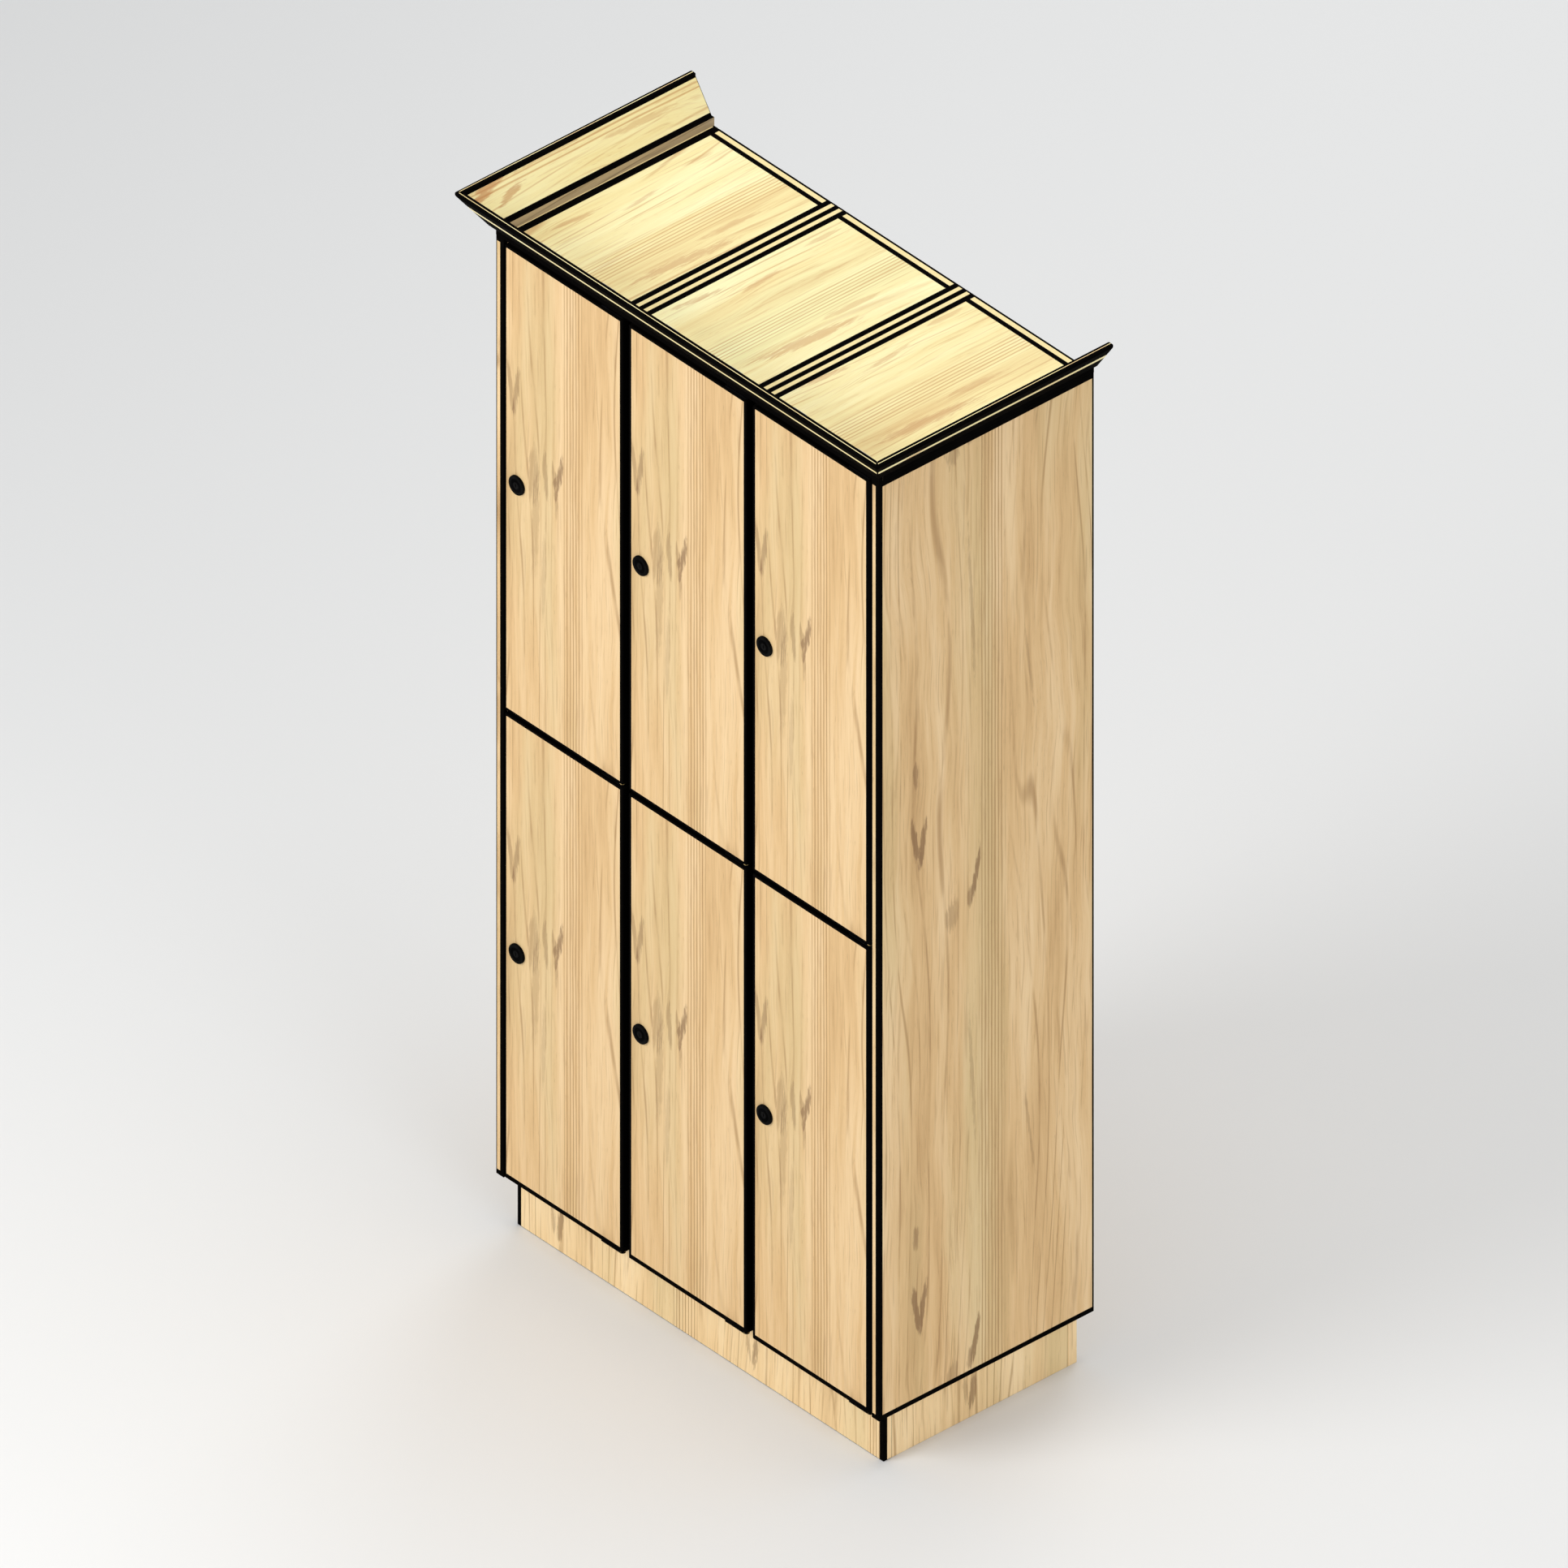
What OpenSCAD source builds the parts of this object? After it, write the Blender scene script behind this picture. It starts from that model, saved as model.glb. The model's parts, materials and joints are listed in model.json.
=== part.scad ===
// Coin operated locker block in timber: three columns, two tiers, six doors.
// It stands on a recessed plinth and carries a leaning cornice on the front and both ends.
// Units are millimetres. X runs to the right, Y to the back and Z up, from the middle of the footprint.

/* [Body] */
// Width of one column, outside its side panels
column_w = 300; // [280:5:340]
// Depth of the body, from the door faces to the back
body_depth = 450; // [400:10:560]
// Height of the body, between the plinth and the cornice
body_h = 1800; // [1500:10:1900]
// Thickness of every board
board_t = 18; // [17:1:19]

/* [Plinth] */
// Height of the plinth
plinth_h = 100; // [80:5:150]
// How far the plinth stands back from the door faces
plinth_front_recess = 27; // [20:1:60]
// How far the plinth stands in from the end panels
plinth_side_recess = 20; // [10:1:40]
// How far the plinth stands in from the back
plinth_back_recess = 18; // [0:1:40]

/* [Cornice] */
// Height of the upright strip under the leaning board
cornice_base_h = 16; // [12:1:24]
// Height at which the leaning board ends and its flat lip begins
cornice_lean_h = 72; // [60:1:90]
// Height of the upright lip
cornice_lip_h = 6; // [4:1:10]
// How far the cornice reaches out past the body
cornice_reach = 46; // [30:1:60]
// Horizontal thickness of the leaning board
cornice_board_w = 11; // [9:1:14]

/* [Doors] */
// Gap between a door and an end panel
door_side_gap = 3; // [3:0.5:5]
// Gap between neighbouring doors
door_gap = 15; // [14:1:18]
// Gap between the lower and the upper door
door_mid_gap = 7; // [6:1:9]
// Gap below the lower door
door_bottom_gap = 3; // [3:1:5]
// Gap above the upper door
door_top_gap = 8; // [7:1:10]
// Gap between the back of a door and the column behind it
door_standoff = 2; // [2:0.5:4]

/* [Hinges] */
// Radius of a pivot pin
pin_r = 2.5; // [2:0.25:3]
// Radial play between a pin and its bore
pin_play = 0.05; // [0.02:0.01:0.1]
// How deep a pin reaches into its door
pin_depth = 16; // [12:1:20]
// Thickness of a hinge plate
hinge_plate_t = 3; // [2:0.5:3]

/* [Locks] */
// Distance from a door's left edge to its lock
lock_inset = 30; // [26:1:40]
// Radius of the round rosette on the door face
rosette_r = 15; // [12:0.5:18]
// How far the rosette stands off the door face
rosette_t = 4; // [3:0.5:6]
// Radius of the lock barrel
barrel_r = 9; // [8.5:0.5:9.5]
// Radius of the plug that turns in the barrel
plug_r = 6; // [5:0.25:6.5]
// How far a locked cam reaches into the side panel
cam_bite = 12; // [8:1:13]

/* [Hidden] */
columns = 3;
tiers = 2;
tier_names = ["lower", "upper"];
COLUMNS = [0 : columns - 1];
TIERS = [0 : tiers - 1];
$fn = 48;

// Places along Y
total_depth = body_depth + cornice_reach;
y_back = total_depth / 2;
y_face = y_back - body_depth;
y_door_back = y_face + board_t;
y_carcass = y_door_back + door_standoff;
y_back_board = y_back - board_t;

// Places along Z
z_body = plinth_h;
z_top = z_body + body_h;
door_h = (body_h - door_bottom_gap - door_mid_gap - door_top_gap) / tiers;
z_mid_gap = z_body + door_bottom_gap + door_h;
z_shelf = z_mid_gap + door_mid_gap / 2 - board_t / 2;
function door_z(t) = z_body + door_bottom_gap + t * (door_h + door_mid_gap);
function lock_z(t) = door_z(t) + door_h / 2;

// Places along X
body_w = columns * column_w;
door_w = (body_w - 2 * board_t - 2 * door_side_gap - (columns - 1) * door_gap) / columns;
function door_x(c) = -body_w / 2 + board_t + door_side_gap + c * (door_w + door_gap);
function lock_x(c) = door_x(c) + lock_inset;
function column_x(c) = -body_w / 2 + c * column_w;
function inner_left(c) = column_x(c) + board_t;
function inner_right(c) = column_x(c + 1) - board_t;

// Pivot hinges
pivot_inset = 6;
function pivot_x(c) = door_x(c) + door_w - pivot_inset;
pivot_y = y_face + pivot_inset;
pin_bore_spare = 2;
hinge_arm_r = 5;
hinge_tongue_near = 11;
hinge_tongue_far = 45;
hinge_tongue_deep = 25;
fit_gap = 0.1;
washer_r = 5;
bottom_plate_t = 2;
z_top_plate = z_top - door_top_gap + 0.5;

// Lock case on the inner face of a door
case_left = 12;
case_w = 61;
case_h = 130;
case_d = 24;
case_wall = 2.5;
y_case = y_door_back + case_d;
cup_h = 26;
cup_left = 23;
cup_right = 5;
cup_deep = 16;
cup_lip = 8;
coin_r = 12;
coin_slot_w = 3;
coin_slot_h = 28;
coin_slot_x = 33;
coin_slot_z = 22;
barrel_tail = 8;
plug_proud = 0.5;
plug_tail = 7;

// Cam behind the case, and the slot that it locks into
cam_t = 3;
cam_w = 12;
cam_gap = 0.5;
y_cam = y_case + cam_gap;
cam_play = 1.5;
cam_nut_r = 6.5;
strike_t = 1.5;
strike_margin = 8;
cam_slot_deep = cam_bite + 2;
function lock_to_panel(c) = lock_x(c) - inner_left(c);
function cam_reach(c) = lock_to_panel(c) + cam_bite;
function cam_entry(c) = sqrt(pow(cam_reach(c) + 1, 2) - pow(lock_to_panel(c), 2)) + cam_w / 2 + 2;

// Coin slide in the case
slide_x = 16;
slide_w = 28;
slide_low = -22;
slide_h = 40;
slide_t = 8;
slide_stand = 3;

// Screws that join two columns through their side panels
connector_r = 4;
connector_head_r = 8;
connector_head_t = 2;
connector_y = [y_carcass + 60, y_back_board - 50];
connector_z = [z_body + 160, z_shelf - 90, z_shelf + 180, z_top - 110];

// Wall fixing holes
wall_hole_r = 3.5;
wall_hole_z = z_top - 60;

// Feet and brackets
foot_inset = 45;
foot_r = 20;
foot_pad_h = 8;
foot_stem_r = 5;
foot_plate = 60;
foot_plate_t = 4;
bracket_w = 30;
bracket_t = 2;
bracket_foot = 28;
cornice_base_w = 8;
cornice_foot_in = 3;
cornice_cut = 80;

oak = "burlywood";
oak_light = "wheat";
metal = "silver";
black_metal = "#202022";
plastic = "dimgray";
brass = "goldenrod";
acetal = "ivory";

function per_door(name) = [for (c = COLUMNS, t = TIERS) door_node(name, c, t)];
function door_node(name, c, t) = str(name, "_", c + 1, "_", tier_names[t]);

// A board between two corners
module board(x, y, z) {
    translate([x[0], y[0], z[0]])
        cube([x[1] - x[0], y[1] - y[0], z[1] - z[0]]);
}

// A round bar along Y, from y[0] to y[1]
module bar_y(r, y) {
    translate([0, y[0], 0]) rotate([-90, 0, 0]) cylinder(r = r, h = y[1] - y[0]);
}

// A round bar along X, from x[0] to x[1]
module bar_x(r, x) {
    translate([x[0], 0, 0]) rotate([0, 90, 0]) cylinder(r = r, h = x[1] - x[0]);
}

// ---- Carcass ----

// Slot and recess in the left panel of column c, one for each tier's cam
module cam_slots(c) {
    x = inner_left(c);
    for (t = TIERS) {
        board([x - cam_slot_deep, x + 1], cam_slot_y(), cam_slot_z(c, t));
        board([x - strike_t, x + 1], strike_y(), strike_z(c, t));
    }
}
function cam_slot_y() = [y_cam - cam_play, y_cam + cam_t + cam_play];
function cam_slot_z(c, t) = [lock_z(t) - cam_entry(c), lock_z(t) + cam_w / 2 + cam_play];
function strike_y() = [y_cam - strike_margin, y_cam + cam_t + strike_margin];
function strike_z(c, t) = [
    lock_z(t) - cam_entry(c) - strike_margin,
    lock_z(t) + cam_w / 2 + cam_play + strike_margin
];

// Bores for the screws between column c and the next one
module connector_bores(c) {
    for (y = connector_y, z = connector_z)
        translate([column_x(c + 1), y, z])
            bar_x(connector_r + fit_gap, [-board_t - 1, board_t + 1]);
}

// An end panel, whose front edge is level with the door faces
module end_panel(x, cam_column) {
    color(oak) difference() {
        board([x, x + board_t], [y_face, y_back], [z_body, z_top]);
        if (cam_column >= 0) cam_slots(cam_column);
    }
}

// A side panel inside the block, behind the doors
module side_panel(x, joint_column, cam_column) {
    color(oak) difference() {
        board([x, x + board_t], [y_carcass, y_back], [z_body, z_top]);
        connector_bores(joint_column);
        if (cam_column >= 0) cam_slots(cam_column);
    }
}

// A level board between the side panels of column c, with a pocket for its hinge plate
module level_board(c, z, plate_z) {
    difference() {
        board([inner_left(c), inner_right(c)], [y_carcass, y_back_board], [z, z + board_t]);
        board(
            [pivot_x(c) - hinge_tongue_far - fit_gap, pivot_x(c) - hinge_tongue_near + fit_gap],
            [y_carcass - 1, y_carcass + hinge_tongue_deep + fit_gap],
            plate_z + [-fit_gap, fit_gap]
        );
    }
}

module top_panels() {
    color(oak_light) for (c = COLUMNS)
        level_board(c, z_top - board_t, [z_top_plate, z_top_plate + hinge_plate_t]);
}

module bottom_panels() {
    color(oak) for (c = COLUMNS)
        level_board(c, z_body, [z_body, z_body + bottom_plate_t]);
}

module tier_shelves() {
    z = z_mid_gap + door_mid_gap / 2;
    color(oak) for (c = COLUMNS)
        level_board(c, z_shelf, [z - hinge_plate_t / 2, z + hinge_plate_t / 2]);
}

module back_panels() {
    color(oak_light) for (c = COLUMNS) difference() {
        board([inner_left(c), inner_right(c)], [y_back_board, y_back], [z_body, z_top]);
        if (c != 1)
            translate([column_x(c) + column_w / 2, 0, wall_hole_z])
                bar_y(wall_hole_r, [y_back_board - 1, y_back + 1]);
    }
}

// Screws that pull two columns together, with a flat head on each side
module column_connectors() {
    color(metal)
        for (c = [0 : columns - 2], y = connector_y, z = connector_z)
            translate([column_x(c + 1), y, z]) {
                bar_x(connector_r, [-board_t, board_t]);
                bar_x(connector_head_r, [-board_t - connector_head_t, -board_t]);
                bar_x(connector_head_r, [board_t, board_t + connector_head_t]);
            }
}

module strike_plates() {
    color(metal) for (c = COLUMNS, t = TIERS) {
        x = inner_left(c);
        difference() {
            board([x - strike_t, x], strike_y(), strike_z(c, t));
            board([x - strike_t - 1, x + 1], cam_slot_y(), cam_slot_z(c, t));
        }
    }
}

// ---- Plinth ----

plinth_x = [-body_w / 2 + plinth_side_recess, body_w / 2 - plinth_side_recess];
plinth_y = [y_face + plinth_front_recess, y_back - plinth_back_recess];

module plinth_cross_board(y) {
    color(oak) board(plinth_x, [y, y + board_t], [0, plinth_h]);
}

module plinth_end_board(x) {
    color(oak) board([x, x + board_t], plinth_y + [board_t, -board_t], [0, plinth_h]);
}

// A foot with a pad on the floor, a stem and a plate under the body
module levelling_feet() {
    foot_x = plinth_x[1] - board_t - foot_inset;
    foot_y = plinth_y + [board_t + foot_inset, -board_t - foot_inset];
    color(plastic) for (x = [-foot_x, 0, foot_x], y = foot_y)
        translate([x, y, 0]) {
            cylinder(r = foot_r, h = foot_pad_h);
            cylinder(r = foot_stem_r, h = plinth_h);
            translate([-foot_plate / 2, -foot_plate / 2, plinth_h - foot_plate_t])
                cube([foot_plate, foot_plate, foot_plate_t]);
        }
}

// ---- Cornice ----

// Section of the leaning board, as distance out from the body and height above it
function cornice_section() = [
    [-cornice_foot_in, cornice_base_h],
    [cornice_reach - cornice_board_w, cornice_lean_h],
    [cornice_reach - cornice_board_w, cornice_lean_h + cornice_lip_h],
    [cornice_reach, cornice_lean_h + cornice_lip_h],
    [cornice_reach, cornice_lean_h],
    [cornice_board_w - cornice_foot_in, cornice_base_h]
];

// The front board's section runs along X and is cut at 45 degrees in plan at both corners
module cornice_front() {
    half = body_w / 2;
    inner = half - cornice_base_w;
    outer = half + cornice_cut;
    color(oak_light) intersection() {
        translate([-outer, y_face, z_top]) rotate([90, 0, 90])
            linear_extrude(2 * outer) mirror([1, 0]) polygon(cornice_section());
        translate([0, 0, z_top]) linear_extrude(cornice_cut * 2) polygon([
            [-outer, y_face - cornice_cut], [outer, y_face - cornice_cut],
            [inner, y_face + cornice_base_w], [-inner, y_face + cornice_base_w]
        ]);
    }
}

// A board on one end of the block: side is -1 on the left and 1 on the right
module cornice_side(side) {
    half = body_w / 2;
    color(oak_light) mirror([side < 0 ? 1 : 0, 0, 0]) intersection() {
        translate([half, y_back, z_top]) rotate([90, 0, 0])
            linear_extrude(body_depth + cornice_cut) polygon(cornice_section());
        translate([0, 0, z_top]) linear_extrude(cornice_cut * 2) polygon([
            [half + cornice_cut, y_face - cornice_cut], [half + cornice_cut, y_back],
            [half - cornice_base_w, y_back], [half - cornice_base_w, y_face + cornice_base_w]
        ]);
    }
}

module cornice_base() {
    half = body_w / 2;
    z = [z_top, z_top + cornice_base_h];
    color(oak) {
        board([-half, half], [y_face, y_face + cornice_base_w], z);
        board([-half, -half + cornice_base_w], [y_face + cornice_base_w + fit_gap, y_back], z);
        board([half - cornice_base_w, half], [y_face + cornice_base_w + fit_gap, y_back], z);
    }
}

// Angle brackets that tie the front strip to the top panels, two for each column
module cornice_brackets() {
    y = y_face + cornice_base_w;
    color(metal) for (c = COLUMNS, share = [1 / 4, 3 / 4]) {
        x = column_x(c) + column_w * share;
        board([x, x + bracket_w] - [1, 1] * bracket_w / 2, [y, y + bracket_foot], [z_top, z_top + bracket_t]);
        board([x, x + bracket_w] - [1, 1] * bracket_w / 2, [y, y + bracket_t],
            [z_top + bracket_t, z_top + cornice_base_h - bracket_t]);
    }
}

// ---- Hinges ----

// A plate with an arm under the pivot and a tongue in the board behind it, from z[0] to z[1]
module hinge_plate(c, z, pin_up, pin_down) {
    t = z[1] - z[0];
    translate([pivot_x(c), pivot_y, z[0]]) {
        cylinder(r = hinge_arm_r, h = t);
        translate([-hinge_tongue_far, -hinge_arm_r, 0])
            cube([hinge_tongue_far, 2 * hinge_arm_r, t]);
        translate([-hinge_tongue_far, 0, 0])
            cube([hinge_tongue_far - hinge_tongue_near, y_carcass - pivot_y + hinge_tongue_deep, t]);
        translate([0, 0, -pin_down]) cylinder(r = pin_r, h = t + pin_down + pin_up);
    }
}

module hinge_plates() {
    z_mid = z_mid_gap + door_mid_gap / 2;
    mid = [z_mid - hinge_plate_t / 2, z_mid + hinge_plate_t / 2];
    top = [z_top_plate, z_top_plate + hinge_plate_t];
    mid_pin = (door_mid_gap - hinge_plate_t) / 2 + pin_depth;
    color(black_metal) for (c = COLUMNS) {
        hinge_plate(c, [z_body, z_body + bottom_plate_t], door_bottom_gap - bottom_plate_t + pin_depth, 0);
        hinge_plate(c, mid, mid_pin, mid_pin);
        hinge_plate(c, top, 0, top[0] - (z_top - door_top_gap) + pin_depth);
    }
}

// Washers that carry each door on the plate below it
module hinge_washers() {
    z_mid = z_mid_gap + (door_mid_gap + hinge_plate_t) / 2;
    color(brass) for (c = COLUMNS, z = [
        [z_body + bottom_plate_t, door_z(0)],
        [z_mid, door_z(1)]
    ])
        translate([pivot_x(c), pivot_y, z[0]]) difference() {
            cylinder(r = washer_r, h = z[1] - z[0]);
            translate([0, 0, -1]) cylinder(r = pin_r + fit_gap, h = z[1] - z[0] + 2);
        }
}

// ---- Doors and locks ----

module door(c, t) {
    bore_h = pin_depth + pin_bore_spare;
    color(oak) difference() {
        board([door_x(c), door_x(c) + door_w], [y_face, y_door_back], [door_z(t), door_z(t) + door_h]);
        for (z = [door_z(t) - 1, door_z(t) + door_h - bore_h])
            translate([pivot_x(c), pivot_y, z]) cylinder(r = pin_r + pin_play, h = bore_h + 1);
        translate([lock_x(c), 0, lock_z(t)])
            bar_y(barrel_r + fit_gap, [y_face - 1, y_door_back + 1]);
    }
}

// Case with a coin slot above and a return cup below, screwed to the inside of a door
module lock_case(c, t) {
    x = [lock_x(c) - case_left, lock_x(c) - case_left + case_w];
    z = [lock_z(t) - case_h / 2, lock_z(t) + case_h / 2];
    inside = [case_wall, -case_wall];
    cup_x = x + [cup_left, -cup_right];
    color(plastic) difference() {
        board(x, [y_door_back, y_case], z);
        board(x + inside, [y_door_back - 1, y_case - case_wall], [z[0] + cup_h + case_wall, z[1] - case_wall]);
        board(cup_x, [y_case - cup_deep, y_case - case_wall], [z[0] + case_wall, z[0] + cup_h]);
        board(cup_x, [y_case - cup_deep, y_case + 1], [z[0] + cup_lip, z[0] + cup_h]);
        board(
            [lock_x(c) + coin_slot_x, lock_x(c) + coin_slot_x + coin_slot_w],
            [y_case - case_wall - 1, y_case + 1],
            [lock_z(t) + coin_slot_z, lock_z(t) + coin_slot_z + coin_slot_h]
        );
        translate([lock_x(c), 0, lock_z(t)])
            bar_y(plug_r + fit_gap, [y_case - case_wall - 1, y_case + 1]);
    }
}

// Barrel through the door, with a chamfered rosette on its face
module lock_barrel(c, t) {
    chamfer = 1;
    tail = board_t + barrel_tail;
    bore = plug_r + pin_play;
    color(black_metal) translate([lock_x(c), y_face, lock_z(t)]) rotate([-90, 0, 0])
        rotate_extrude() polygon([
            [bore, -rosette_t], [rosette_r - chamfer, -rosette_t], [rosette_r, -rosette_t + chamfer],
            [rosette_r, 0], [barrel_r, 0], [barrel_r, tail], [bore, tail]
        ]);
}

// Plug with a keyway in its face and a square tail for the cam
module lock_plug(c, t) {
    keyway = [1.6, 18, 7];
    y_front = y_face - rosette_t - plug_proud;
    color(metal) translate([lock_x(c), 0, lock_z(t)]) {
        difference() {
            bar_y(plug_r, [y_front, y_cam]);
            translate([-keyway[0] / 2, y_front - 1, -keyway[2] / 2]) cube(keyway + [0, 1, 0]);
        }
        board([-plug_tail / 2, plug_tail / 2], [y_cam, y_cam + cam_t], [-plug_tail / 2, plug_tail / 2]);
    }
}

// Cam that hangs down when unlocked and points left when locked, with its nut
module lock_cam(c, t) {
    hole = plug_tail / 2 + fit_gap;
    color(metal) translate([lock_x(c), 0, lock_z(t)]) {
        difference() {
            union() {
                bar_y(cam_w / 2 + 1, [y_cam, y_cam + cam_t]);
                board([-cam_w / 2, cam_w / 2], [y_cam, y_cam + cam_t], [-cam_reach(c), 0]);
            }
            board([-hole, hole], [y_cam - 1, y_cam + cam_t + 1], [-hole, hole]);
        }
        translate([0, y_cam + cam_t, 0]) rotate([-90, 0, 0]) cylinder(r = cam_nut_r, h = cam_t, $fn = 6);
    }
}

// Plate with a round pocket for one coin, which rides up as the lock is turned
module coin_slide(c, t) {
    y = y_door_back + slide_stand;
    color(acetal) translate([lock_x(c) + slide_x, 0, lock_z(t) + slide_low]) difference() {
        board([0, slide_w], [y, y + slide_t], [0, slide_h]);
        translate([slide_w / 2, 0, slide_h / 2]) bar_y(coin_r, [y - 1, y + slide_t + 1]);
    }
}

end_panel(column_x(0), 0);  // end_panel_left
end_panel(column_x(columns) - board_t, -1);  // end_panel_right
side_panel(column_x(1) - board_t, 0, -1);  // column_1_side_right
side_panel(column_x(1), 0, 1);  // column_2_side_left
side_panel(column_x(2) - board_t, 1, -1);  // column_2_side_right
side_panel(column_x(2), 1, 2);  // column_3_side_left
top_panels();
bottom_panels();
tier_shelves();
back_panels();
plinth_cross_board(plinth_y[0]);  // plinth_front
plinth_cross_board(plinth_y[1] - board_t);  // plinth_back
plinth_end_board(plinth_x[0]);  // plinth_left
plinth_end_board(plinth_x[1] - board_t);  // plinth_right
levelling_feet();
cornice_front();
cornice_side(-1);  // cornice_left
cornice_side(1);  // cornice_right
cornice_base();
cornice_brackets();
hinge_plates();
hinge_washers();
strike_plates();
column_connectors();

for (c = COLUMNS, t = TIERS) {
    door(c, t);
    lock_case(c, t);
    lock_barrel(c, t);
    lock_plug(c, t);
    lock_cam(c, t);
    coin_slide(c, t);
}
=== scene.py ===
"""Coin operated locker: looks for three timber columns of two compartments each."""
import json
import math

import bmesh
import bpy
from mathutils import Matrix, Vector


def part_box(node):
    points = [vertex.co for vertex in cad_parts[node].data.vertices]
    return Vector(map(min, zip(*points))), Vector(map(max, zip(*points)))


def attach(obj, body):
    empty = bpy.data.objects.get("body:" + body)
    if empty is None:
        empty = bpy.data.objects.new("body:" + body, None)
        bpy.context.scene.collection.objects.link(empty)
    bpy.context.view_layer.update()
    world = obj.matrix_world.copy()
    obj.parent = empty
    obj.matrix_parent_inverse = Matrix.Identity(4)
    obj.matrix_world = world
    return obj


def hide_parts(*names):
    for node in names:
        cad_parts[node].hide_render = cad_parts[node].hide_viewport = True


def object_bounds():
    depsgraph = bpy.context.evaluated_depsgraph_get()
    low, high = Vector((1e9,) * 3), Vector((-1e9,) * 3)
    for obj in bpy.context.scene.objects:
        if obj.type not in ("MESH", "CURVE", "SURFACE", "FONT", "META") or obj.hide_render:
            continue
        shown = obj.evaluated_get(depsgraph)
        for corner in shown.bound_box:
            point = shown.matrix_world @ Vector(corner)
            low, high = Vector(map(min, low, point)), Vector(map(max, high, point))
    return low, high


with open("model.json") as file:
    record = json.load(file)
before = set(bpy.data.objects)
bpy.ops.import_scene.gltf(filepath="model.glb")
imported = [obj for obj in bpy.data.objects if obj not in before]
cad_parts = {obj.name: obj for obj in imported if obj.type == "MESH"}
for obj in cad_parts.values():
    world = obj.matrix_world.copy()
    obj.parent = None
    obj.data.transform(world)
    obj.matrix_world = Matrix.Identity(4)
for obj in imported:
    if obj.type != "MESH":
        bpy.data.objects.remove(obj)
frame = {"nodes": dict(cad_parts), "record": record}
cad_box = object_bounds()
NODES = frame["nodes"]
BODY_OF = {n: b for b, ns in frame["record"]["behaviour"]["bodies"].items() for n in ns}

X, Y, Z = AXES = 0, 1, 2
MM = 0.001
# Points closer than this count as one
WELD = 0.01 * MM
# How far a point may stand off a plane and still count as on it
NEAR = 0.02 * MM

COLUMNS = (1, 2, 3)
TIERS = ("lower", "upper")
DOORS = [f"{c}_{t}" for c in COLUMNS for t in TIERS]


# ---------------------------------------------------------------- shader graphs

class Graph:
    """A material's node tree, built in a few words."""

    def __init__(self, name):
        self.material = bpy.data.materials.new(name)
        self.material.use_nodes = True
        self.tree = self.material.node_tree
        self.tree.nodes.clear()
        output = self.add("ShaderNodeOutputMaterial")
        self.shader = self.add("ShaderNodeBsdfPrincipled")
        self.join(self.shader.outputs["BSDF"], output.inputs["Surface"])
        self.coords = self.add("ShaderNodeTexCoord")

    def add(self, kind, **settings):
        """A new node of one kind with some of its settings."""
        node = self.tree.nodes.new(kind)
        for key, value in settings.items():
            setattr(node, key, value)
        return node

    def join(self, source, socket):
        self.tree.links.new(source, socket)

    def feed(self, socket, value):
        """Link a socket to another one, or give it a plain value."""
        if isinstance(value, bpy.types.NodeSocket):
            self.join(value, socket)
        elif value is not None:
            socket.default_value = value

    def math(self, operation, a, b=None, c=None):
        node = self.add("ShaderNodeMath", operation=operation)
        for socket, value in zip(node.inputs, (a, b, c)):
            self.feed(socket, value)
        return node.outputs[0]

    def total(self, *terms):
        """The sum of weight times value pairs."""
        result = 0.0
        for weight, value in terms:
            result = self.math("MULTIPLY_ADD", value, weight, result)
        return result

    def step(self, value, low, high):
        """0 below low, 1 above high, smooth between them."""
        node = self.add("ShaderNodeMapRange", interpolation_type="SMOOTHSTEP")
        self.feed(node.inputs["Value"], value)
        self.feed(node.inputs["From Min"], low)
        self.feed(node.inputs["From Max"], high)
        return node.outputs["Result"]

    def vector(self, x, y, z):
        node = self.add("ShaderNodeCombineXYZ")
        for socket, value in zip(node.inputs, (x, y, z)):
            self.feed(socket, value)
        return node.outputs[0]

    def noise(self, vector, scale=1.0, detail=2.0, roughness=0.5):
        node = self.add("ShaderNodeTexNoise")
        self.feed(node.inputs["Vector"], vector)
        node.inputs["Scale"].default_value = scale
        node.inputs["Detail"].default_value = detail
        node.inputs["Roughness"].default_value = roughness
        return node.outputs["Fac"]

    def blend(self, factor, a, b):
        """Colour a with a share of colour b in it; either may be a socket."""
        node = self.add("ShaderNodeMix", data_type="RGBA")
        self.feed(node.inputs["Factor"], factor)
        self.feed(node.inputs["A"], a if isinstance(a, bpy.types.NodeSocket) else (*a, 1.0))
        self.feed(node.inputs["B"], b if isinstance(b, bpy.types.NodeSocket) else (*b, 1.0))
        return node.outputs["Result"]

    def ramp(self, value, stops):
        """A colour for a value, from (value, colour) stops."""
        node = self.add("ShaderNodeValToRGB")
        self.feed(node.inputs["Fac"], value)
        elements = node.color_ramp.elements
        while len(elements) < len(stops):
            elements.new(0.5)
        for element, (place, colour) in zip(elements, stops):
            element.position = place
            element.color = (*colour, 1.0)
        return node.outputs["Color"]

    def bump(self, height, strength, distance):
        """Relief on the surface, distance metres high at full strength."""
        node = self.add("ShaderNodeBump")
        node.inputs["Strength"].default_value = strength
        node.inputs["Distance"].default_value = distance
        self.feed(node.inputs["Height"], height)
        self.join(node.outputs["Normal"], self.shader.inputs["Normal"])

    def set(self, **inputs):
        """Shader inputs by name, with underscores for spaces."""
        for name, value in inputs.items():
            self.feed(self.shader.inputs[name.replace("_", " ")], value)


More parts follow.
